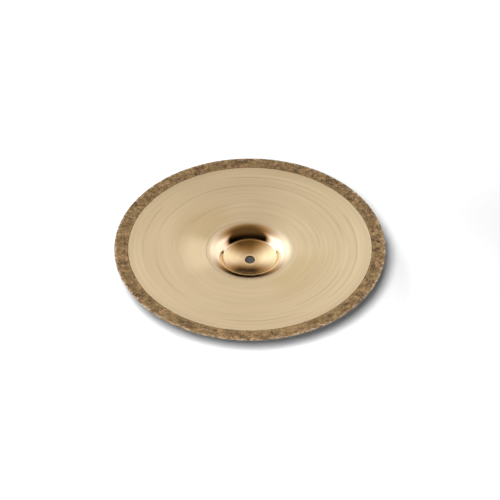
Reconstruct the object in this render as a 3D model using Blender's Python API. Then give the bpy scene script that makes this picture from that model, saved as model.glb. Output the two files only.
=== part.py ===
# Hi-hat cymbal, the bottom one of a pair, lying on its bell with its inside up.
#
# The real object is one dish of cast and rolled bronze. It is thick in the bell and thins
# toward the edge. The bell is pressed in, with a crease round its crown. The bow is turned
# on a lathe and keeps a few deeper grooves. The outer ring is left unturned, so it stands a
# little proud of the bow, and a row of hammer marks runs round its edge.
#
# Metres, +Z up. The origin is on the cymbal's axis, at the flat seat under the bell.
# The section is worked out as a closed loop of stations, from the hole out along the inside,
# round the lip and back along the underside. Each station becomes a ring of vertices, and
# each pair of neighbouring rings is bridged with faces.

from math import asin, cos, pi, radians, sin, tan
from typing import NamedTuple

import bmesh
import bpy

# Plan
DIAMETER = 0.356            # 14 inches
BELL_DIAMETER = 0.115       # where the bow turns down into the bell
BELL_WALL_WIDTH = 0.0235    # from the bell's rim in to its crease, seen from above
CREASE_LEDGE = 0.0008       # narrow flat ledge at the crease
DISH_DIAMETER = 0.023       # where the soft turn round the seat meets the crown's even curve
SEAT_DIAMETER = 0.0172      # flat round the hole, inside and underneath
HOLE_DIAMETER = 0.0137      # for the hi-hat's rod
HOLE_CHAMFER = 0.0003
RING_WIDTH = 0.018          # unturned ring at the edge

# Section: slopes are measured from the level, rising toward the edge
CROWN_INNER_SLOPE = radians(6.6)
CROWN_EDGE_SLOPE = radians(20.0)
BELL_WALL_SLOPE = radians(50.0)
FLARE_SLOPES = (radians(17.0), radians(11.0))  # where the flare's three arcs meet
FLARE_WIDTHS = (0.00895, 0.0065, 0.0040)       # of its arcs, from the wall out to the bow
BOW_INNER_SLOPE = radians(6.0)
BOW_OUTER_SLOPE = radians(8.6)
BELL_THICKNESS = 0.0017
EDGE_THICKNESS = 0.0012
LIP_RADIUS = 0.00035

# Turning and hammering
RING_STEP = 0.00015                            # the ring above the turned bow
GROOVE_WIDTH = 0.0016
GROOVE_DEPTH = 0.00015
INSIDE_GROOVES = (0.019, 0.035, 0.068)         # in from the ring
UNDERSIDE_GROOVES = (0.008, 0.052)
HAMMER_MARKS = 50
HAMMER_DEPTH = 0.00030
HAMMER_LENGTH = 0.014                          # in from the edge
HAMMER_THROUGH = 0.4                           # share of the depth that shows underneath

# Facets
CROWN_SEGMENTS = 50
BOW_SEGMENTS = 2 * CROWN_SEGMENTS
EDGE_SEGMENTS = 4 * HAMMER_MARKS
CROWN_STEPS = 3
FLARE_STEPS = (4, 2, 1)
HAMMER_STEPS = 4

# Colours: base colour, metallic, roughness
TURNED_BRONZE = ("turned_bronze", (0.60, 0.46, 0.27), 1.0, 0.32)
BELL_BRONZE = ("bell_bronze", (0.66, 0.47, 0.24), 1.0, 0.18)
RAW_BRONZE = ("raw_bronze", (0.22, 0.15, 0.08), 0.8, 0.62)

edge_radius = DIAMETER / 2
ring_radius = edge_radius - RING_WIDTH
bell_radius = BELL_DIAMETER / 2
crease_radius = bell_radius - BELL_WALL_WIDTH
dish_radius = DISH_DIAMETER / 2
seat_radius = SEAT_DIAMETER / 2
hole_radius = HOLE_DIAMETER / 2


class Station(NamedTuple):
    radius: float
    height: float
    segments: int
    finish: int = 0           # index of the material on the band that starts here
    hammered: float = 0.0     # 1 takes the hammer marks at full depth


TURNED, BELL, RAW = range(3)


def thickness(radius):
    share = max(0.0, (radius - bell_radius) / (edge_radius - bell_radius))
    return BELL_THICKNESS + (EDGE_THICKNESS - BELL_THICKNESS) * share


def under(radius, height, slope):
    """The point one wall thickness below the inside, square to it."""
    wall = thickness(radius)
    return radius + wall * sin(slope), height - wall * cos(slope)


def arc_points(start, slopes, width, steps):
    """Points along a round arc of the section, after its start: radius, height, slope."""
    radius, height = start
    first, last = slopes
    curve = width / (sin(last) - sin(first))
    points = []
    for step in range(1, steps + 1):
        slope = first + (last - first) * step / steps
        points.append((radius + curve * (sin(slope) - sin(first)),
                       height + curve * (cos(first) - cos(slope)), slope))
    return points


def crown_points():
    """Inside of the crown, from the seat out to the crease."""
    points = [(seat_radius, BELL_THICKNESS, 0.0)]
    points += arc_points(points[-1][:2], (0.0, CROWN_INNER_SLOPE), dish_radius - seat_radius, 1)
    points += arc_points(points[-1][:2], (CROWN_INNER_SLOPE, CROWN_EDGE_SLOPE),
                         crease_radius - dish_radius, CROWN_STEPS)
    return points


def wall_points():
    """Inside of the bell's wall, from the ledge up its flare to the bell's rim."""
    radius = crease_radius + CREASE_LEDGE
    height = crown_points()[-1][1]
    width = bell_radius - sum(FLARE_WIDTHS) - radius
    points = [(radius, height, BELL_WALL_SLOPE),
              (radius + width, height + width * tan(BELL_WALL_SLOPE), BELL_WALL_SLOPE)]
    for slope, width, steps in zip(FLARE_SLOPES + (BOW_INNER_SLOPE,), FLARE_WIDTHS, FLARE_STEPS):
        last = points[-1]
        points += arc_points(last[:2], (last[2], slope), width, steps)
    return points


def bow_point(radius):
    """Inside of the bow at one radius, on the arc that its two slopes set."""
    curve = (edge_radius - bell_radius) / (sin(BOW_OUTER_SLOPE) - sin(BOW_INNER_SLOPE))
    slope = asin(sin(BOW_INNER_SLOPE) + (radius - bell_radius) / curve)
    start = wall_points()[-1][1]
    return radius, start + curve * (cos(BOW_INNER_SLOPE) - cos(slope)), slope


def inside_height(radius):
    return bow_point(radius)[1]


def underside_height(radius):
    slope = bow_point(radius)[2]
    return inside_height(radius) - thickness(radius) / cos(slope)


def groove(radius, surface, depth):
    """Three stations across a turned groove; depth is measured down from the surface."""
    half = GROOVE_WIDTH / 2
    return [Station(radius - half, surface(radius - half), BOW_SEGMENTS, TURNED),
            Station(radius, surface(radius) - depth, BOW_SEGMENTS, TURNED),
            Station(radius + half, surface(radius + half), BOW_SEGMENTS, TURNED)]


def hammer_share(radius):
    """How much of the hammer marks' depth is left at a radius: 1 at the edge."""
    reach = (radius - (edge_radius - HAMMER_LENGTH)) / HAMMER_LENGTH
    reach = min(1.0, max(0.0, reach))
    return reach * reach * (3 - 2 * reach)


def inside_stations():
    chamfer_radius = hole_radius + HOLE_CHAMFER
    stations = [Station(chamfer_radius, BELL_THICKNESS, CROWN_SEGMENTS, BELL)]
    stations += [Station(radius, height, CROWN_SEGMENTS, BELL)
                 for radius, height, slope in crown_points()]
    wall = wall_points()
    stations.append(Station(wall[0][0], wall[0][1], CROWN_SEGMENTS, BELL))
    stations += [Station(radius, height, BOW_SEGMENTS, BELL)
                 for radius, height, slope in wall[1:-1]]
    stations.append(Station(wall[-1][0], wall[-1][1], BOW_SEGMENTS, TURNED))
    for inset in sorted(INSIDE_GROOVES, reverse=True):
        stations += groove(ring_radius - inset, inside_height, GROOVE_DEPTH)
    return stations


def edge_stations():
    """The unturned ring, the lip and the start of the underside."""
    step = ring_radius - RING_STEP
    stations = [Station(step, inside_height(step), EDGE_SEGMENTS, RAW)]
    inner = edge_radius - HAMMER_LENGTH
    outer = edge_radius - LIP_RADIUS
    hammered = [inner + (outer - inner) * part / HAMMER_STEPS
                for part in range(HAMMER_STEPS + 1)]
    for radius in [ring_radius] + hammered:
        stations.append(Station(radius, inside_height(radius) + RING_STEP,
                                EDGE_SEGMENTS, RAW, hammer_share(radius)))
    top = inside_height(edge_radius) + RING_STEP
    bottom = underside_height(edge_radius)
    stations.append(Station(edge_radius, top - LIP_RADIUS, EDGE_SEGMENTS, RAW, 1.0))
    stations.append(Station(edge_radius, bottom + LIP_RADIUS, EDGE_SEGMENTS, TURNED,
                            HAMMER_THROUGH))
    stations.append(Station(outer, underside_height(outer), EDGE_SEGMENTS, TURNED))
    return stations


def underside_stations():
    inner = edge_radius - HAMMER_LENGTH / 2
    stations = [Station(inner, underside_height(inner), BOW_SEGMENTS, TURNED)]
    for inset in sorted(UNDERSIDE_GROOVES):
        cut = groove(ring_radius - inset, underside_height, -GROOVE_DEPTH)
        stations += reversed(cut)
    wall = wall_points()
    stations += [Station(*under(*point), BOW_SEGMENTS, BELL) for point in reversed(wall[1:])]
    stations.append(Station(*under(*wall[0]), CROWN_SEGMENTS, BELL))
    stations += [Station(*under(*point), CROWN_SEGMENTS, BELL)
                 for point in reversed(crown_points())]
    stations.append(Station(hole_radius + HOLE_CHAMFER, 0.0, CROWN_SEGMENTS, BELL))
    stations.append(Station(hole_radius, HOLE_CHAMFER, CROWN_SEGMENTS, BELL))
    stations.append(Station(hole_radius, BELL_THICKNESS - HOLE_CHAMFER, CROWN_SEGMENTS, BELL))
    return stations


def hammer_dent(angle):
    """Depth of the hammer marks round the edge, from 0 between two to 1 in the middle."""
    return (1 - cos(HAMMER_MARKS * angle)) / 2


def add_ring(mesh, station):
    ring = []
    for index in range(station.segments):
        angle = 2 * pi * index / station.segments
        dent = HAMMER_DEPTH * station.hammered * hammer_dent(angle)
        ring.append(mesh.verts.new((station.radius * cos(angle),
                                    station.radius * sin(angle),
                                    station.height - dent)))
    return ring


def bridge(mesh, first, second, finish):
    """Faces between two rings that have the same number of vertices, or one twice the other."""
    count = min(len(first), len(second))
    for index in range(count):
        after = (index + 1) % count
        if len(first) == len(second):
            loops = [(first[index], second[index], second[after], first[after])]
        elif len(second) == 2 * count:
            left, middle, right = (second[2 * index], second[2 * index + 1], second[2 * after])
            loops = [(first[index], left, middle), (first[index], middle, first[after]),
                     (first[after], middle, right)]
        else:
            left, middle, right = (first[2 * index], first[2 * index + 1], first[2 * after])
            loops = [(left, second[index], middle), (middle, second[index], second[after]),
                     (middle, second[after], right)]
        for loop in loops:
            mesh.faces.new(loop).material_index = finish


def bronze(name, colour, metallic, roughness):
    material = bpy.data.materials.new(name)
    material.use_nodes = True
    material.diffuse_color = (*colour, 1.0)
    shader = material.node_tree.nodes["Principled BSDF"]
    shader.inputs["Base Color"].default_value = (*colour, 1.0)
    shader.inputs["Metallic"].default_value = metallic
    shader.inputs["Roughness"].default_value = roughness
    return material


def cymbal():
    stations = inside_stations() + edge_stations() + underside_stations()
    mesh = bmesh.new()
    rings = [add_ring(mesh, station) for station in stations]
    for index, station in enumerate(stations):
        bridge(mesh, rings[index], rings[(index + 1) % len(rings)], station.finish)
    data = bpy.data.meshes.new("cymbal")
    mesh.to_mesh(data)
    mesh.free()
    for finish in (TURNED_BRONZE, BELL_BRONZE, RAW_BRONZE):
        data.materials.append(bronze(*finish))
    data.shade_smooth()
    data.set_sharp_from_angle(angle=radians(30))
    part = bpy.data.objects.new("cymbal", data)
    bpy.context.collection.objects.link(part)
    return part


for leftover in list(bpy.data.objects):
    bpy.data.objects.remove(leftover)
cymbal()
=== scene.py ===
import math
import random

import bmesh
import bpy
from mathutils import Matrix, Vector


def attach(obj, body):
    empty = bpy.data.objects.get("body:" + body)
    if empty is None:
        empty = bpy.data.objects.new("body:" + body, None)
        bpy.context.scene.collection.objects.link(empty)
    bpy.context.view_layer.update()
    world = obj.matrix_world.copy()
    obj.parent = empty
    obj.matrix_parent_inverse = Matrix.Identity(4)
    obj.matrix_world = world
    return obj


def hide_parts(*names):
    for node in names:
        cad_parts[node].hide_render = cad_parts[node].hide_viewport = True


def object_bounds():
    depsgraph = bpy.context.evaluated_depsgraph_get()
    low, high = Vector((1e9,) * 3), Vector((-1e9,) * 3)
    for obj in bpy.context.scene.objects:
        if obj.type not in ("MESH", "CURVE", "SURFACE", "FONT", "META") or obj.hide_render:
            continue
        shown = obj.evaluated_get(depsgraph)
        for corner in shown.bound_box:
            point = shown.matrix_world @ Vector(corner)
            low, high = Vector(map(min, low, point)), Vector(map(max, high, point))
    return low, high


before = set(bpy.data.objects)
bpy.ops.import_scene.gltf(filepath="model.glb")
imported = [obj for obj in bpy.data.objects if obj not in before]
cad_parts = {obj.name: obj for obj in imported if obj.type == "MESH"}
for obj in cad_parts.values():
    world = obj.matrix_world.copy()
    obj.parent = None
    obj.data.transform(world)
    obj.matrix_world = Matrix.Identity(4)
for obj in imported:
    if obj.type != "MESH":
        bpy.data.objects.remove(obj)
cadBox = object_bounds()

# Hi-hat cymbal, lying on its bell with the inside up. Metres, +Z up, as the frame.
# The sheet is drawn as one closed section, spun round the axis, then hammered at the edge.

sheet = {
    "hole": 0.00685,           # radii
    "seat": 0.0086,
    "dish": 0.0115,            # where the crown's even curve starts
    "crease": 0.034,
    "bellRim": 0.0575,
    "ring": 0.160,
    "edge": 0.178,
    "ledgeWidth": 0.0008,
    "crownSlopes": (6.6, 20.0),             # degrees from the level, at the dish and at the crease
    "wallSlope": 50.0,
    "flareSlopes": (17.0, 11.0),            # at the ends of the first two of the flare's three arcs
    "flareWidths": (0.00895, 0.0065, 0.0040),
    "bowSlopes": (6.0, 8.6),   # at the bell's rim and at the edge
    "bellWall": 0.0017,        # thickness of the sheet
    "edgeWall": 0.0012,
    "lipCurve": 0.00045,
    "lipBand": 0.0008,         # the raw finish turns over the lip this far in
    "holeBevel": 0.0003,
    "ringStep": 0.00015,       # unturned ring above the turned bow
    "dishSteps": 4,            # stations along each part of the section
    "crownSteps": 14,
    "wallSteps": 4,
    "flareSteps": 6,
    "ringSteps": 16,
    "spinSteps": 400,
    "weld": 0.000005,
}

turning = {
    "pitch": 0.00125,          # between two stations on the bow
    "waver": 0.000006,         # height that the tool wanders
    "grooves": (0.019, 0.0345, 0.0675),     # in from the ring
    "under": (0.008, 0.052),   # grooves on the underside
    "underPitch": 0.0035,
    "underStop": 0.0015,       # last station of the underside, in from the lip
    "grooveWidth": 0.0026,
    "grooveDepth": 0.00006,
    "rimLineWidth": 0.0010,    # the fine line where the bell meets the bow
    "rimLineDepth": 0.00007,
    "seed": 11,
}

hammer = {
    "marks": 50,
    "depth": 0.00020,
    "reach": 0.008,
    "rows": (0.0010, 0.0075),  # in from the edge
    "rowShare": (1.0, 0.55),
    "hardness": (0.8, 1.0, 1.2),
    "rounds": 8,
    "blows": 18,
    "blowDepth": 0.00007,
    "blowShare": (-0.7, 1),    # a negative blow lifts the sheet
    "blowReach": (0.004, 0.008),
    "blowField": (0.003, 0.002),            # in from the ring's border and from the edge
    "stray": 0.06,             # a mark's wander along the row, as a share of its pitch
    "faceDepth": 0.0045,       # the ring's inside face lies no lower than this under the edge
    "seed": 23,
}

camera = {
    "elevation": 41.786,
    "distance": 1.5,
    "lens": 82.04,
    "sensor": 36.0,
    "clip": (0.05, 30),
    "frameSide": 500,
    "centre": (-0.08, 8.90),   # the rim's centre, right of and above the frame's, in pixels
}


def deselectAll():
    if bpy.context.object and bpy.context.object.mode != "OBJECT":
        bpy.ops.object.mode_set(mode="OBJECT")
    bpy.ops.object.select_all(action="DESELECT")


def arcRise(slopeA, slopeB, width):
    # height gained along a round arc whose slope goes from A to B over a width
    sinA, sinB = math.sin(slopeA), math.sin(slopeB)
    if abs(sinB - sinA) < 1e-6:
        return width * math.tan(slopeA)
    return width * (math.cos(slopeA) - math.cos(slopeB)) / (sinB - sinA)


def arcPoints(start, slopes, width, count, first=True):
    # points along one arc of the section: radius, height, slope
    radius, height = start
    slopeA, slopeB = (math.radians(s) for s in slopes)
    points = []
    for step in range(0 if first else 1, count + 1):
        across = width * step / count
        slope = math.asin(math.sin(slopeA) + (math.sin(slopeB) - math.sin(slopeA)) * step / count)
        points.append((radius + across, height + arcRise(slopeA, slope, across), slope))
    return points


def wallAt(radius):
    share = max(0.0, (radius - sheet["bellRim"]) / (sheet["edge"] - sheet["bellRim"]))
    return sheet["bellWall"] + (sheet["edgeWall"] - sheet["bellWall"]) * share


def grooveDip(radius, places, width, depth):
    # a turned groove with soft shoulders
    for place in places:
        off = abs(radius - place) / (width / 2)
        if off < 1:
            return depth * (1 + math.cos(math.pi * off)) / 2
    return 0.0


def bowRadii(grooves, high, pitch):
    # stations on the bow: an even pitch, and closer ones over each groove
    low = sheet["bellRim"] + turning["rimLineWidth"]
    count = round((high - low) / pitch)
    radii = {low + (high - low) * step / count for step in range(count + 1)}
    half = turning["grooveWidth"] / 2
    for place in grooves:
        radii = {r for r in radii if abs(r - place) > half * 1.2}
        radii |= {place + half * share for share in (-1, -0.5, 0, 0.5, 1)}
    return sorted(radii)


def insideSection():
    # the inside face, from the hole to the lip: radius, height, slope
    crown = arcPoints((sheet["seat"], sheet["bellWall"]), (0, sheet["crownSlopes"][0]),
                      sheet["dish"] - sheet["seat"], sheet["dishSteps"])
    crown += arcPoints(crown[-1][:2], sheet["crownSlopes"], sheet["crease"] - sheet["dish"],
                       sheet["crownSteps"], first=False)
    ledge = (sheet["crease"] + sheet["ledgeWidth"], crown[-1][1])
    wallWidth = sheet["bellRim"] - sum(sheet["flareWidths"]) - ledge[0]
    wall = arcPoints(ledge, (sheet["wallSlope"],) * 2, wallWidth, sheet["wallSteps"])
    flare, slopes = wall[-1:], (sheet["wallSlope"],) + sheet["flareSlopes"] + sheet["bowSlopes"][:1]
    for ends, width in zip(zip(slopes, slopes[1:]), sheet["flareWidths"]):
        flare += arcPoints(flare[-1][:2], ends, width, sheet["flareSteps"], first=False)
    flare = flare[1:]
    bowStart, bowWidth = flare[-1][:2], sheet["edge"] - sheet["bellRim"]
    return crown, wall, flare, bowStart, bowWidth


def bowAt(radius, start, width):
    slopeA, slopeB = (math.radians(s) for s in sheet["bowSlopes"])
    share = (radius - sheet["bellRim"]) / width
    slope = math.asin(math.sin(slopeA) + (math.sin(slopeB) - math.sin(slopeA)) * share)
    return start[1] + arcRise(slopeA, slope, radius - sheet["bellRim"]), slope


def beneath(point):
    radius, height, slope = point
    wall = wallAt(radius)
    return radius + wall * math.sin(slope), height - wall * math.cos(slope)


def sectionPoints():
    # the whole closed section, out along the inside and back along the underside
    wander = random.Random(turning["seed"])
    crown, wall, flare, start, width = insideSection()
    hole, bevel = sheet["hole"], sheet["holeBevel"]
    points = [(hole, sheet["bellWall"] - bevel), (hole + bevel * 0.3, sheet["bellWall"] - bevel * 0.3),
              (hole + bevel, sheet["bellWall"])]
    points += [p[:2] for p in crown]
    points += [p[:2] for p in wall + flare[:-1]]
    line = turning["rimLineWidth"] / 2
    for part, dip in ((-1, 0), (-0.4, 1), (0.4, 1), (1, 0)):
        radius = sheet["bellRim"] + line * (1 + part)
        points.append((radius, bowAt(radius, start, width)[0] - dip * turning["rimLineDepth"]))
    grooves = [sheet["ring"] - inset for inset in turning["grooves"]]
    for radius in bowRadii(grooves, sheet["ring"], turning["pitch"])[1:]:
        dip = grooveDip(radius, grooves, turning["grooveWidth"], turning["grooveDepth"])
        drift = wander.uniform(-1, 1) * turning["waver"]
        points.append((radius, bowAt(radius, start, width)[0] - dip + drift))
    lip, step = sheet["lipCurve"], sheet["ringStep"]
    inner, outer = sheet["ring"] + 2 * step, sheet["edge"] - lip
    for count in range(sheet["ringSteps"] + 1):
        radius = inner + (outer - inner) * count / sheet["ringSteps"]
        points.append((radius, bowAt(radius, start, width)[0] + step))
    height, slope = bowAt(sheet["edge"], start, width)
    top = height + step
    bottom = height - wallAt(sheet["edge"]) / math.cos(slope)
    for turn in (30, 60, 90):
        angle = math.radians(turn)
        points.append((outer + lip * math.sin(angle), top - lip + lip * math.cos(angle)))
    for turn in (90, 60, 30, 0):
        angle = math.radians(turn)
        points.append((outer + lip * math.sin(angle), bottom + lip - lip * math.cos(angle)))
    under = [sheet["ring"] - inset for inset in turning["under"]]
    for radius in reversed(bowRadii(under, outer - turning["underStop"], turning["underPitch"])):
        height, slope = bowAt(radius, start, width)
        cut = grooveDip(radius, under, turning["grooveWidth"], turning["grooveDepth"])
        points.append((radius, height - wallAt(radius) / math.cos(slope) + cut))
    points += [beneath(p) for p in reversed(flare)]
    points += [beneath(p) for p in reversed(wall)]
    points += [beneath(p) for p in reversed(crown)]
    points += [(hole + bevel, 0.0), (hole + bevel * 0.3, bevel * 0.3), (hole, bevel)]
    return points


def spinSheet(points):
    # a single point is extruded along the section, closed, and spun round the axis
    deselectAll()
    bpy.ops.mesh.primitive_plane_add(size=0.001, location=(0, 0, 0))
    piece = bpy.context.object
    piece.name = piece.data.name = "bronzeSheet"
    bpy.ops.object.mode_set(mode="EDIT")
    bpy.ops.mesh.select_all(action="SELECT")
    bpy.ops.mesh.merge(type="CENTER")
    bpy.ops.transform.translate(value=(points[0][0], 0, points[0][1]))
    for before, after in zip(points, points[1:]):
        move = (after[0] - before[0], 0, after[1] - before[1])
        bpy.ops.mesh.extrude_vertices_move(TRANSFORM_OT_translate={"value": move})
    shape = bmesh.from_edit_mesh(piece.data)
    shape.verts.ensure_lookup_table()
    ends = [v for v in shape.verts if len(v.link_edges) < 2]
    bpy.ops.mesh.select_all(action="DESELECT")
    for vert in ends:
        vert.select = True
    bmesh.update_edit_mesh(piece.data)
    bpy.ops.mesh.edge_face_add()
    bpy.ops.mesh.select_all(action="SELECT")
    bpy.ops.mesh.spin(steps=sheet["spinSteps"], angle=2 * math.pi, center=(0, 0, 0), axis=(0, 0, 1))
    bpy.ops.mesh.select_all(action="SELECT")
    bpy.ops.mesh.remove_doubles(threshold=sheet["weld"])
    bpy.ops.mesh.normals_make_consistent(inside=False)
    bpy.ops.object.mode_set(mode="OBJECT")
    return piece


def strike(piece, face, places, depth, reach):
    # blows of one depth land together: each nearest vertex moves, and the sheet round it follows
    shape = bmesh.from_edit_mesh(piece.data)
    shape.verts.ensure_lookup_table()
    bpy.ops.mesh.select_all(action="DESELECT")
    for radius, turn in places:
        angle = 2 * math.pi * turn
        spot = Vector((math.cos(angle), math.sin(angle))) * radius
        nearest = min(face, key=lambda v: (v[1] - spot).length_squared)
        shape.verts[nearest[0]].select = True
    bmesh.update_edit_mesh(piece.data, loop_triangles=False, destructive=False)
    bpy.ops.transform.translate(value=(0, 0, -depth), use_proportional_edit=True,
                                proportional_edit_falloff="SMOOTH", proportional_size=reach)


def hammerEdge(piece):
    blow = random.Random(hammer["seed"])
    bpy.ops.object.mode_set(mode="EDIT")
    bpy.ops.mesh.select_mode(type="VERT")
    low = cadBox[1].z - hammer["faceDepth"]
    face = [(v.index, v.co.xy.copy()) for v in bmesh.from_edit_mesh(piece.data).verts
            if v.co.xy.length > sheet["ring"] and v.co.z > low]
    hard = hammer["hardness"]
    for row, share in zip(hammer["rows"], hammer["rowShare"]):
        marks = [(mark + 0.5 + blow.uniform(-hammer["stray"], hammer["stray"])) / hammer["marks"]
                 for mark in range(hammer["marks"])]
        blow.shuffle(marks)
        for count, part in enumerate(hard):
            struck = [(sheet["edge"] - row, turn) for turn in marks[count::len(hard)]]
            strike(piece, face, struck, hammer["depth"] * share * part, hammer["reach"])
    inner, outer = sheet["ring"] + hammer["blowField"][0], sheet["edge"] - hammer["blowField"][1]
    for rounds in range(hammer["rounds"]):
        struck = [(blow.uniform(inner, outer), blow.random()) for count in range(hammer["blows"])]
        strike(piece, face, struck, hammer["blowDepth"] * blow.uniform(*hammer["blowShare"]),
               blow.uniform(*hammer["blowReach"]))
    bpy.ops.object.mode_set(mode="OBJECT")
    print("edge hammered:", len(face), "vertices on the ring")


def lookAt(item, target):
    item.rotation_euler = (target - item.location).to_track_quat("-Z", "Y").to_euler()


def placeCamera():
    rim = Vector((0, 0, cadBox[1].z))
    tilt = math.radians(camera["elevation"])
    back = Vector((0, -math.cos(tilt), math.sin(tilt)))
    bpy.ops.object.camera_add(location=rim + back * camera["distance"])
    view = bpy.context.object
    view.name = "photoCamera"
    view.data.lens, view.data.sensor_width = camera["lens"], camera["sensor"]
    view.data.clip_start, view.data.clip_end = camera["clip"]
    lookAt(view, rim)
    view.data.shift_x = -camera["centre"][0] / camera["frameSide"]
    view.data.shift_y = -camera["centre"][1] / camera["frameSide"]
    bpy.context.scene.camera = view
    return view


finishes = ["turned", "crown", "bell", "raw"]


def faceFinish(piece):
    # which finish each face has, from its place on the sheet
    for polygon in piece.data.polygons:
        radius = polygon.center.xy.length
        lip = radius > sheet["edge"] - sheet["lipBand"]
        if radius < sheet["crease"]:
            finish = "crown"
        elif radius < sheet["bellRim"]:
            finish = "bell"
        elif lip or (radius > sheet["ring"] and polygon.normal.z > 0):
            finish = "raw"
        else:
            finish = "turned"
        polygon.material_index = finishes.index(finish)
        polygon.use_smooth = True
    print("finishes given to", len(piece.data.polygons), "faces")


# In the looks below, a pair of numbers that a fade uses is where it starts and where it is full.
# Scales are per metre. Bands that follow the turning have a scale across it and one round the disc.

turnedLook = {
    "dark": (0.805, 0.658, 0.394, 1),
    "light": (0.895, 0.738, 0.464, 1),
    "roughness": (0.59, 0.65),
    "anisotropy": 0.10,
    "bump": 0.000008,
    "fineLines": 800.0,
    "rings": 170.0,
    "ringFade": (0.3, 0.7),
    "arcs": (420.0, 1.2),
    "arcFade": (0.34, 0.66),
    "arcRise": 2.0,            # height of the arcs beside the fine lines
    "broadArcs": (40.0, 0.9),
    "toneShares": (0.35, 0.25, 0.40),       # of the arcs, the rings and the broad arcs
    "paintedDarkReflection": (0.775, 0.608, 0.318, 1),     # painted darker reflection on two sides of the bell
    "sectorAngle": 141.0,      # degrees
    "sectorWidth": (0.78, 0.99),
    "sectorReach": ((0.056, 0.068), (0.080, 0.118)),
    "darkReflectionShare": 0.60,
    "paintedHighlight": (0.99, 0.83, 0.53, 1),     # and a painted highlight on a third
    "lightTowards": (-0.99, -0.12, 0),
    "lightWidth": (0.84, 0.99),
    "lightReach": (0.070, 0.105),
    # painted shade, darkening the grooves and the fine line where the bell meets the bow
    "line": (0.50, 0.38, 0.22, 1),
    "grooveWidth": (0.0003, 0.0015),
    "grooveArcs": (90.0, 1.5),
    "grooveComes": (0.40, 0.62),
    "grooveShadeShare": 0.34,
    # painted shade in the fine line at the bell's rim: its width and the side where it is heavier
    "bellLineWidth": (0.0008, 0.0014),
    "bellRimShadeSides": (-0.6, 0.8),
    "bellRimShadeShare": 0.5,
    "speckScale": 900.0,
    "speckFade": (0.58, 0.66),
    "speckReach": (-0.0022, -0.0002),       # from the ring's border
    "insideFade": (-0.3, 0.3),
}

crownLook = {
    "dark": (0.655, 0.490, 0.238, 1),
    "light": (0.725, 0.566, 0.308, 1),
    "roughness": (0.13, 0.15),
    "anisotropy": 0.76,
    "bump": 0.000005,
    "rings": 420.0,
    "smear": (130.0, 1.3),
    "bandFade": (0.3, 0.7),
    "toneShares": (0.4, 0.6),               # of the rings and the smears
}

bellLook = {
    "dark": (0.735, 0.562, 0.338, 1),
    "light": (0.810, 0.642, 0.424, 1),
    "roughness": (0.10, 0.12),
    "anisotropy": 0.30,
    "bump": 0.000005,
    "rings": 420.0,
    "smear": (130.0, 1.3),
    "bandFade": (0.3, 0.7),
    "toneShares": (0.4, 0.6),
    "flare": (0.765, 0.640, 0.395, 1),
    "flareReach": (0.042, 0.054),
    "flareRoughness": 0.50,
    # painted shade on the bell wall just outside the crease
    "flareRise": (0.015, 0.0255),           # out from the crease
    "creaseShade": (0.50, 0.30, 0.12, 1),
    "creaseShadeReach": ((0.0002, 0.0008), (0.002, 0.013)),
    "creaseShadeShare": 0.05,
}

rawLook = {
    "deep": (0.058, 0.030, 0.009, 1),
    "brown": (0.165, 0.096, 0.030, 1),
    "tan": (0.338, 0.205, 0.084, 1),
    "blotch": 165.0,
    "brownFade": (0.35, 0.52),
    "tanFade": (0.51, 0.66),
    "green": (0.200, 0.132, 0.046, 1),
    "patch": 60.0,
    "greenFade": (0.46, 0.62),
    "greenShare": 0.5,
    "red": (0.165, 0.062, 0.024, 1),
    "spots": 210.0,
    "spotFade": (0.15, 0.34),
    "redPatch": (0.36, 0.52),
    "redShare": 0.7,
    "fleck": (0.640, 0.490, 0.330, 1),
    "grain": 640.0,
    "fleckFade": (0.54, 0.68),
    "fleckShare": 0.5,
    "line": (0.090, 0.052, 0.020, 1),       # the ring's border, with a pale broken line beside it
    "lineReach": (0.0008, 0.0014),
    "lineShare": 0.55,
    "broken": 330.0,
    "brokenFade": (0.36, 0.56),
    "paleReach": ((0.0010, 0.0016), (0.0020, 0.0030)),
    "paleShare": 0.7,
    "rubReach": (-0.0048, -0.0012),         # from the edge, which is rubbed bright
    "rub": 260.0,
    "rubFade": (0.51, 0.60),
    "rubShare": 0.8,
    "worn": (0.66, 0.50, 0.30, 1),          # the lip is lighter and more metallic between two marks
    "wornGrain": 0.8,
    "wornFade": (0.5, 1.1),
    "wornReach": (-0.0014, -0.0006),
    "wornShare": 0.7,
    "wornMetallic": 0.9,
    "metallic": 0.55,
    "roughness": (0.42, 0.60),
    "roughFade": (0.35, 0.65),
    "grainRise": 0.35,
    "bump": 0.00008,
}


def plug(tree, socket, value):
    if isinstance(value, bpy.types.NodeSocket):
        tree.links.new(value, socket)
    else:
        socket.default_value = value


def addNode(tree, kind, inputs=None, **settings):
    node = tree.nodes.new("ShaderNode" + kind)
    for name, value in settings.items():
        setattr(node, name, value)
    for name, value in (inputs or {}).items():
        plug(tree, node.inputs[name], value)
    return node


def calc(tree, operation, *values):
    node = addNode(tree, "Math", operation=operation)
    for socket, value in zip(node.inputs, values):
        plug(tree, socket, value)
    return node.outputs[0]


def product(tree, value, *factors):
    for factor in factors:
        value = calc(tree, "MULTIPLY", value, factor)
    return value


def fade(tree, value, low, high, start=0.0, end=1.0):
    node = addNode(tree, "MapRange", interpolation_type="SMOOTHSTEP",
                   inputs={"Value": value, "From Min": low, "From Max": high,
                           "To Min": start, "To Max": end})
    return node.outputs[0]


def between(tree, value, rise, fall):
    # 1 between a rise and a fall, and 0 outside them
    return product(tree, fade(tree, value, *rise), fade(tree, value, *fall, 1, 0))


def shifted(place, steps):
    return [place + step for step in steps]


def blend(tree, share, first, second):
    node = addNode(tree, "Mix", data_type="RGBA")
    for index, value in ((0, share), (6, first), (7, second)):
        plug(tree, node.inputs[index], value)
    return node.outputs[2]


def axisParts(tree, vector):
    return addNode(tree, "SeparateXYZ", inputs={"Vector": vector}).outputs


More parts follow.
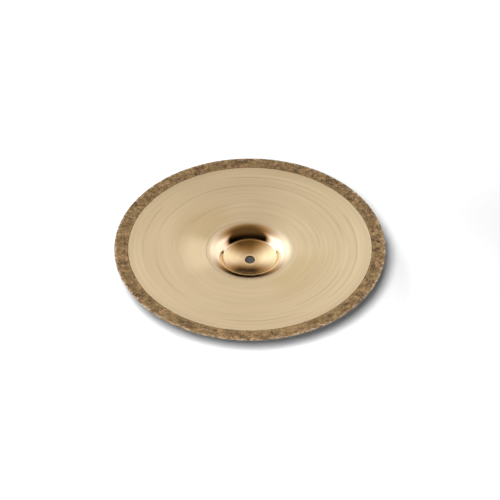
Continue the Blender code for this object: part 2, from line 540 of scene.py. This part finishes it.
def flatDirection(tree, parts):
    # the part of a vector that lies level, and its direction
    flat = addNode(tree, "CombineXYZ", inputs={"X": parts["X"], "Y": parts["Y"]}).outputs[0]
    return flat, addNode(tree, "VectorMath", operation="NORMALIZE", inputs={0: flat}).outputs[0]


def facing(tree, direction, target):
    # cosine of the angle between a direction and a target
    node = addNode(tree, "VectorMath", operation="DOT_PRODUCT", inputs={0: direction, 1: target})
    return node.outputs["Value"]


def levelVector(degrees):
    angle = math.radians(degrees)
    return math.cos(angle), math.sin(angle), 0


def noise(tree, vector, scale, detail=2.0, rough=0.5):
    node = addNode(tree, "TexNoise", inputs={"Vector": vector, "Scale": scale, "Detail": detail,
                                             "Roughness": rough})
    return node.outputs["Fac"]


def ringNoise(tree, radius, scale, detail=2.0):
    # the same all the way round, as a lathe cuts it
    node = addNode(tree, "TexNoise", noise_dimensions="1D",
                   inputs={"W": radius, "Scale": scale, "Detail": detail})
    return node.outputs["Fac"]


def arcNoise(tree, radius, direction, across, along, detail=2.0):
    # arcs along the turning that come and go round the disc
    parts = axisParts(tree, direction)
    spread = [calc(tree, "MULTIPLY", parts[axis], along) for axis in ("X", "Y")]
    vector = addNode(tree, "CombineXYZ", inputs={"X": spread[0], "Y": spread[1],
                                                 "Z": calc(tree, "MULTIPLY", radius, across)})
    return noise(tree, vector.outputs[0], 1.0, detail)


def startMaterial(name):
    material = bpy.data.materials.new(name)
    material.use_nodes = True
    tree = material.node_tree
    place = addNode(tree, "TexCoord").outputs["Object"]
    flat, direction = flatDirection(tree, axisParts(tree, place))
    radius = addNode(tree, "VectorMath", operation="LENGTH", inputs={0: flat}).outputs["Value"]
    return material, tree, tree.nodes["Principled BSDF"], place, radius, direction


def toneRoughness(tree, tone, look):
    # the lighter bands are the smoother ones
    smooth, rough = look["roughness"]
    return fade(tree, tone, 0.1, 0.9, rough, smooth)


def finishMaterial(tree, shader, look, colour, roughness, height):
    plug(tree, shader.inputs["Base Color"], colour)
    plug(tree, shader.inputs["Roughness"], roughness)
    bump = addNode(tree, "Bump", inputs={"Height": height, "Distance": look["bump"], "Strength": 1.0})
    plug(tree, shader.inputs["Normal"], bump.outputs[0])


def alongTurning(tree, shader, look):
    # bare metal whose gloss follows the turning lines
    tangent = addNode(tree, "Tangent", direction_type="RADIAL", axis="Z")
    plug(tree, shader.inputs["Tangent"], tangent.outputs[0])
    shader.inputs["Metallic"].default_value = 1.0
    shader.inputs["Anisotropic"].default_value = look["anisotropy"]
    shader.inputs["Anisotropic Rotation"].default_value = 0.25


def turnedBronze():
    look = turnedLook
    material, tree, shader, place, radius, direction = startMaterial("turnedBronze")
    fine = ringNoise(tree, radius, look["fineLines"], 1.0)
    rings = ringNoise(tree, radius, look["rings"])
    arcs = arcNoise(tree, radius, direction, *look["arcs"])
    broad = arcNoise(tree, radius, direction, *look["broadArcs"], 1.0)
    arcShare, ringShare, broadShare = look["toneShares"]
    tone = calc(tree, "MULTIPLY", fade(tree, arcs, *look["arcFade"]), arcShare)
    tone = calc(tree, "MULTIPLY_ADD", fade(tree, rings, *look["ringFade"]), ringShare, tone)
    tone = calc(tree, "MULTIPLY_ADD", fade(tree, broad, *look["ringFade"]), broadShare, tone)
    colour = blend(tree, tone, look["dark"], look["light"])

    # painted darker reflection: the bow's colour is darkened on two sides of the bell
    darkReflectionSides = facing(tree, direction, levelVector(look["sectorAngle"]))
    darkReflectionSides = fade(tree, calc(tree, "ABSOLUTE", darkReflectionSides), *look["sectorWidth"])
    near = between(tree, radius, *look["sectorReach"])
    colour = blend(tree, product(tree, darkReflectionSides, near, look["darkReflectionShare"]), colour, look["paintedDarkReflection"])
    lightwards = facing(tree, direction, look["lightTowards"])
    # painted highlight: the bow's colour is lightened on one side beside the bell
    pale = product(tree, fade(tree, lightwards, *look["lightWidth"]),
                   fade(tree, radius, *look["lightReach"], 1, 0))
    colour = blend(tree, pale, colour, look["paintedHighlight"])

    # the grooves' dark lines, which are painted shade, and the ring's border are on the inside only
    normal = axisParts(tree, addNode(tree, "TexCoord").outputs["Normal"])
    inside = fade(tree, normal["Z"], *look["insideFade"])
    comes = fade(tree, arcNoise(tree, radius, direction, *look["grooveArcs"], 1.0), *look["grooveComes"])
    for inset in turning["grooves"]:
        off = calc(tree, "ABSOLUTE", calc(tree, "SUBTRACT", radius, sheet["ring"] - inset))
        cut = product(tree, fade(tree, off, *look["grooveWidth"], 1, 0), comes, inside, look["grooveShadeShare"])
        colour = blend(tree, cut, colour, look["line"])
    # painted shade along the fine line where the bell meets the bow, heavier on one side
    bellRimShade = product(tree, fade(tree, radius, *shifted(sheet["bellRim"], look["bellLineWidth"]), 1, 0),
                       fade(tree, lightwards, *look["bellRimShadeSides"]), look["bellRimShadeShare"])
    colour = blend(tree, bellRimShade, colour, look["line"])
    specks = fade(tree, noise(tree, place, look["speckScale"]), *look["speckFade"])
    stain = product(tree, specks, fade(tree, radius, *shifted(sheet["ring"], look["speckReach"])), inside)
    colour = blend(tree, stain, colour, rawLook["deep"])

    alongTurning(tree, shader, look)
    height = calc(tree, "MULTIPLY_ADD", arcs, look["arcRise"], fine)
    finishMaterial(tree, shader, look, colour, toneRoughness(tree, tone, look), height)
    return material


def pressedTone(tree, look, radius, direction):
    # rings and smears of the bell's polish: their height, their tone and the colour they make
    rings = ringNoise(tree, radius, look["rings"])
    smear = arcNoise(tree, radius, direction, *look["smear"])
    ringShare, smearShare = look["toneShares"]
    tone = calc(tree, "MULTIPLY", fade(tree, rings, *look["bandFade"]), ringShare)
    tone = calc(tree, "MULTIPLY_ADD", fade(tree, smear, *look["bandFade"]), smearShare, tone)
    return calc(tree, "ADD", rings, smear), tone, blend(tree, tone, look["dark"], look["light"])


def crownBronze():
    look = crownLook
    material, tree, shader, place, radius, direction = startMaterial("crownBronze")
    height, tone, colour = pressedTone(tree, look, radius, direction)
    alongTurning(tree, shader, look)
    finishMaterial(tree, shader, look, colour, toneRoughness(tree, tone, look), height)
    return material


def bellBronze():
    look = bellLook
    material, tree, shader, place, radius, direction = startMaterial("bellBronze")
    height, tone, colour = pressedTone(tree, look, radius, direction)
    colour = blend(tree, fade(tree, radius, *look["flareReach"]), colour, look["flare"])
    # painted shade in the corner just outside the crease
    rise, fall = (shifted(sheet["crease"], steps) for steps in look["creaseShadeReach"])
    creaseShade = product(tree, between(tree, radius, rise, fall), look["creaseShadeShare"])
    colour = blend(tree, creaseShade, colour, look["creaseShade"])
    flare = fade(tree, radius, *shifted(sheet["crease"], look["flareRise"]))
    roughness = addNode(tree, "Mix", data_type="FLOAT",
                        inputs={0: flare, 2: toneRoughness(tree, tone, look), 3: look["flareRoughness"]})
    alongTurning(tree, shader, look)
    finishMaterial(tree, shader, look, colour, roughness.outputs[0], height)
    return material


def rawBronze():
    look = rawLook
    material, tree, shader, place, radius, direction = startMaterial("rawBronze")
    blotch = noise(tree, place, look["blotch"], 4.0, 0.65)
    patch = noise(tree, place, look["patch"])
    grain = noise(tree, place, look["grain"], 2.0, 0.6)
    colour = blend(tree, fade(tree, blotch, *look["brownFade"]), look["deep"], look["brown"])
    colour = blend(tree, fade(tree, blotch, *look["tanFade"]), colour, look["tan"])
    green = product(tree, fade(tree, patch, *look["greenFade"]), look["greenShare"])
    colour = blend(tree, green, colour, look["green"])
    spots = addNode(tree, "TexVoronoi", inputs={"Vector": place, "Scale": look["spots"]})
    red = product(tree, fade(tree, spots.outputs["Distance"], *look["spotFade"], 1, 0),
                  fade(tree, patch, *look["redPatch"], 1, 0), look["redShare"])
    colour = blend(tree, red, colour, look["red"])
    flecks = product(tree, fade(tree, grain, *look["fleckFade"]), look["fleckShare"])
    colour = blend(tree, flecks, colour, look["fleck"])

    line = fade(tree, radius, *shifted(sheet["ring"], look["lineReach"]), 1, 0)
    colour = blend(tree, product(tree, line, look["lineShare"]), colour, look["line"])
    rise, fall = (shifted(sheet["ring"], steps) for steps in look["paleReach"])
    broken = fade(tree, noise(tree, place, look["broken"]), *look["brokenFade"])
    pale = product(tree, between(tree, radius, rise, fall), broken, look["paleShare"])
    colour = blend(tree, pale, colour, look["tan"])
    rubbed = product(tree, fade(tree, radius, *shifted(sheet["edge"], look["rubReach"])),
                     fade(tree, noise(tree, place, look["rub"], 3.0, 0.6), *look["rubFade"]),
                     look["rubShare"])
    colour = blend(tree, rubbed, colour, look["fleck"])

    parts = axisParts(tree, direction)
    angle = calc(tree, "ARCTAN2", parts["Y"], parts["X"])
    struck = calc(tree, "COSINE", calc(tree, "MULTIPLY", angle, float(hammer["marks"])))
    struck = calc(tree, "MULTIPLY_ADD", grain, look["wornGrain"], struck)
    worn = product(tree, fade(tree, struck, *look["wornFade"]),
                   fade(tree, radius, *shifted(sheet["edge"], look["wornReach"])))
    colour = blend(tree, product(tree, worn, look["wornShare"]), colour, look["worn"])
    metallic = fade(tree, worn, 0, 1, look["metallic"], look["wornMetallic"])
    plug(tree, shader.inputs["Metallic"], metallic)
    smooth, rough = look["roughness"]
    roughness = fade(tree, blotch, *look["roughFade"], rough, smooth)
    height = calc(tree, "MULTIPLY_ADD", grain, look["grainRise"], blotch)
    finishMaterial(tree, shader, look, colour, roughness, height)
    return material


studio = {
    # soft boxes: brightness, bearing in degrees from +X, half angles where their light starts
    # and is full, and the sines of elevation over which it fades in and out
    "leftBox": (2.15, 149.8, (58.0, 7.1), (-0.02, 0.175), (0.642, 1.00)),
    "rightBox": (1.64, 38.1, (45.7, 5.0), (-0.02, 0.071), (0.614, 0.942)),
    "backStrip": (0.90, 90.0, (31.0, 0.0), (0.320, 0.660), (0.660, 0.985)),
    "overhead": (0.08, 85.0, 63.4),         # brightness, elevation and half angle of a dim glow
    "dark": 0.0,               # brightness of the rest
    # tint of dim, middling and bright light, and the brightnesses between which they change
    "tints": ((1.66, 1.0, 0.45, 1), (1.09, 1.0, 1.08, 1), (0.82, 1.0, 1.18, 1)),
    "tintSteps": ((0.0, 0.85), (1.0, 2.0)),
    # lamps: floor brightness given under the object, width and distance in metres,
    # turn left of the front and tilt from overhead in degrees
    "softKey": (0.96, 0.39, 0.90, 10.2, 37.1),
    "softBack": (0.39, 0.64, 1.34, 144.7, 60.0),
    "fill": 0.09,
    # a spot straight above the far right corner: floor brightness, place, height, cone radius there
    "corner": (0.60, (0.50, 0.68), 2.0, 0.66),
}
lampNames = ("softKey", "softBack")


def softBox(tree, level, height, power, bearing, spread, rise, fall):
    # brightness that one soft box gives in a direction
    outer, inner = (math.cos(math.radians(angle)) for angle in spread)
    glow = fade(tree, facing(tree, level, levelVector(bearing)), outer, inner, 0, power)
    return product(tree, glow, between(tree, height, rise, fall))


def buildSurround():
    world = bpy.data.worlds.new("studioSurround")
    bpy.context.scene.world = world
    world.use_nodes = True
    tree = world.node_tree
    tree.nodes.clear()
    direction = addNode(tree, "TexCoord").outputs["Generated"]
    parts = axisParts(tree, direction)
    level = flatDirection(tree, parts)[1]
    bright = studio["dark"]
    for name in ("leftBox", "rightBox", "backStrip"):
        bright = calc(tree, "ADD", bright, softBox(tree, level, parts["Z"], *studio[name]))
    power, elevation, half = studio["overhead"]
    across, up = levelVector(elevation)[:2]
    above = facing(tree, direction, (0, across, up))
    bright = calc(tree, "ADD", bright, fade(tree, above, math.cos(math.radians(half)), 1.0, 0, power))
    tint = studio["tints"][0]
    for after, step in zip(studio["tints"][1:], studio["tintSteps"]):
        tint = blend(tree, fade(tree, bright, *step), tint, after)
    # the camera itself sees plain white
    seen = addNode(tree, "LightPath").outputs["Is Camera Ray"]
    strength = calc(tree, "MULTIPLY_ADD", bright, calc(tree, "SUBTRACT", 1.0, seen), seen)
    glow = addNode(tree, "Background", inputs={"Color": blend(tree, seen, tint, (1, 1, 1, 1)),
                                               "Strength": strength})
    out = addNode(tree, "OutputWorld")
    tree.links.new(glow.outputs[0], out.inputs[0])
    world.cycles_visibility.diffuse = False


def addLamp(name, bright, width, distance, turn, tilt):
    # a round soft lamp aimed at the origin, left out of every reflection
    tilt, turn = math.radians(tilt), math.radians(turn)
    away = Vector((-math.sin(tilt) * math.sin(turn), -math.sin(tilt) * math.cos(turn), math.cos(tilt)))
    deselectAll()
    bpy.ops.object.light_add(type="AREA", location=away * distance)
    lamp = bpy.context.object
    lamp.name = name
    lamp.data.shape, lamp.data.size = "DISK", width
    lamp.data.energy = bright * (math.pi * distance) ** 2 / (floorSize["colour"][0] * math.cos(tilt))
    lamp.visible_glossy = lamp.visible_camera = False
    lookAt(lamp, Vector((0, 0, 0)))
    return lamp


def addCorner(bright, place, height, radius):
    # evens out the floor's far corner; its cone ends before the cymbal
    deselectAll()
    bpy.ops.object.light_add(type="SPOT", location=(*place, height))
    lamp = bpy.context.object
    lamp.name = "cornerSpot"
    lamp.data.spot_size, lamp.data.spot_blend = 2 * math.atan(radius / height), 1.0
    lamp.data.energy = bright * (2 * math.pi * height) ** 2 / floorSize["colour"][0]
    lamp.visible_glossy = False
    return lamp


def addFill(bright):
    deselectAll()
    bpy.ops.object.light_add(type="SUN", location=(0, 0, 2))
    lamp = bpy.context.object
    lamp.name = "skyFill"
    lamp.data.angle = math.pi
    lamp.data.energy = bright * math.pi / floorSize["colour"][0]
    lamp.visible_glossy = False
    return lamp


floorSize = {
    "socket": 0.0072,          # radius of the dowel hole under the rod hole, hidden by the seat
    "socketDepth": 0.016,
    "radius": 4.0,
    "colour": (0.80, 0.80, 0.80, 1),
    # the socket's lining is painted shade: dark grey, so that the rod hole shows dark
    "socketShade": (0.11, 0.11, 0.107, 1),
    "roughness": 0.9,
    "sides": 48,
}


def layFloor():
    deselectAll()
    bpy.ops.mesh.primitive_circle_add(vertices=floorSize["sides"], radius=floorSize["socket"],
                                      fill_type="NGON", location=(0, 0, 0))
    floor = bpy.context.object
    floor.name = "studioFloor"
    bpy.ops.object.mode_set(mode="EDIT")
    bpy.ops.mesh.select_mode(type="EDGE")
    bpy.ops.mesh.select_all(action="SELECT")
    grow = floorSize["radius"] / floorSize["socket"]
    bpy.ops.mesh.extrude_edges_move()
    bpy.ops.transform.resize(value=(grow, grow, 1))
    bpy.ops.mesh.select_mode(type="FACE")
    shape = bmesh.from_edit_mesh(floor.data)
    for face in shape.faces:
        face.select = len(face.verts) > 4
    bmesh.update_edit_mesh(floor.data)
    bpy.ops.mesh.extrude_region_move(TRANSFORM_OT_translate={"value": (0, 0, -floorSize["socketDepth"])})
    bpy.ops.mesh.select_all(action="SELECT")
    bpy.ops.mesh.normals_make_consistent(inside=False)
    bpy.ops.object.mode_set(mode="OBJECT")
    # the pale floor, and the socket's lining of painted shade
    for name, colour in (("paleFloor", "colour"), ("socketShadeLining", "socketShade")):
        material = bpy.data.materials.new(name)
        material.use_nodes = True
        shader = material.node_tree.nodes["Principled BSDF"]
        shader.inputs["Base Color"].default_value = floorSize[colour]
        shader.inputs["Roughness"].default_value = floorSize["roughness"]
        shader.inputs["Specular IOR Level"].default_value = 0.0
        floor.data.materials.append(material)
    for polygon in floor.data.polygons:
        polygon.material_index = 1 if polygon.center.z < -0.001 else 0
    return floor


placeCamera()
print("camera placed")

section = sectionPoints()
print("section has", len(section), "points")
cymbal = spinSheet(section)
print("sheet spun:", len(cymbal.data.polygons), "faces")
hammerEdge(cymbal)
faceFinish(cymbal)
for material in (turnedBronze(), crownBronze(), bellBronze(), rawBronze()):
    cymbal.data.materials.append(material)
print("cymbal finished")

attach(cymbal, "root")
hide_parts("cymbal")
cymbal.visible_diffuse = False     # the floor's shadow stays neutral

layFloor()
buildSurround()
for name in lampNames:
    addLamp(name, *studio[name])
addCorner(*studio["corner"])
addFill(studio["fill"])
bpy.context.scene.view_settings.view_transform = "Standard"
print("studio set")
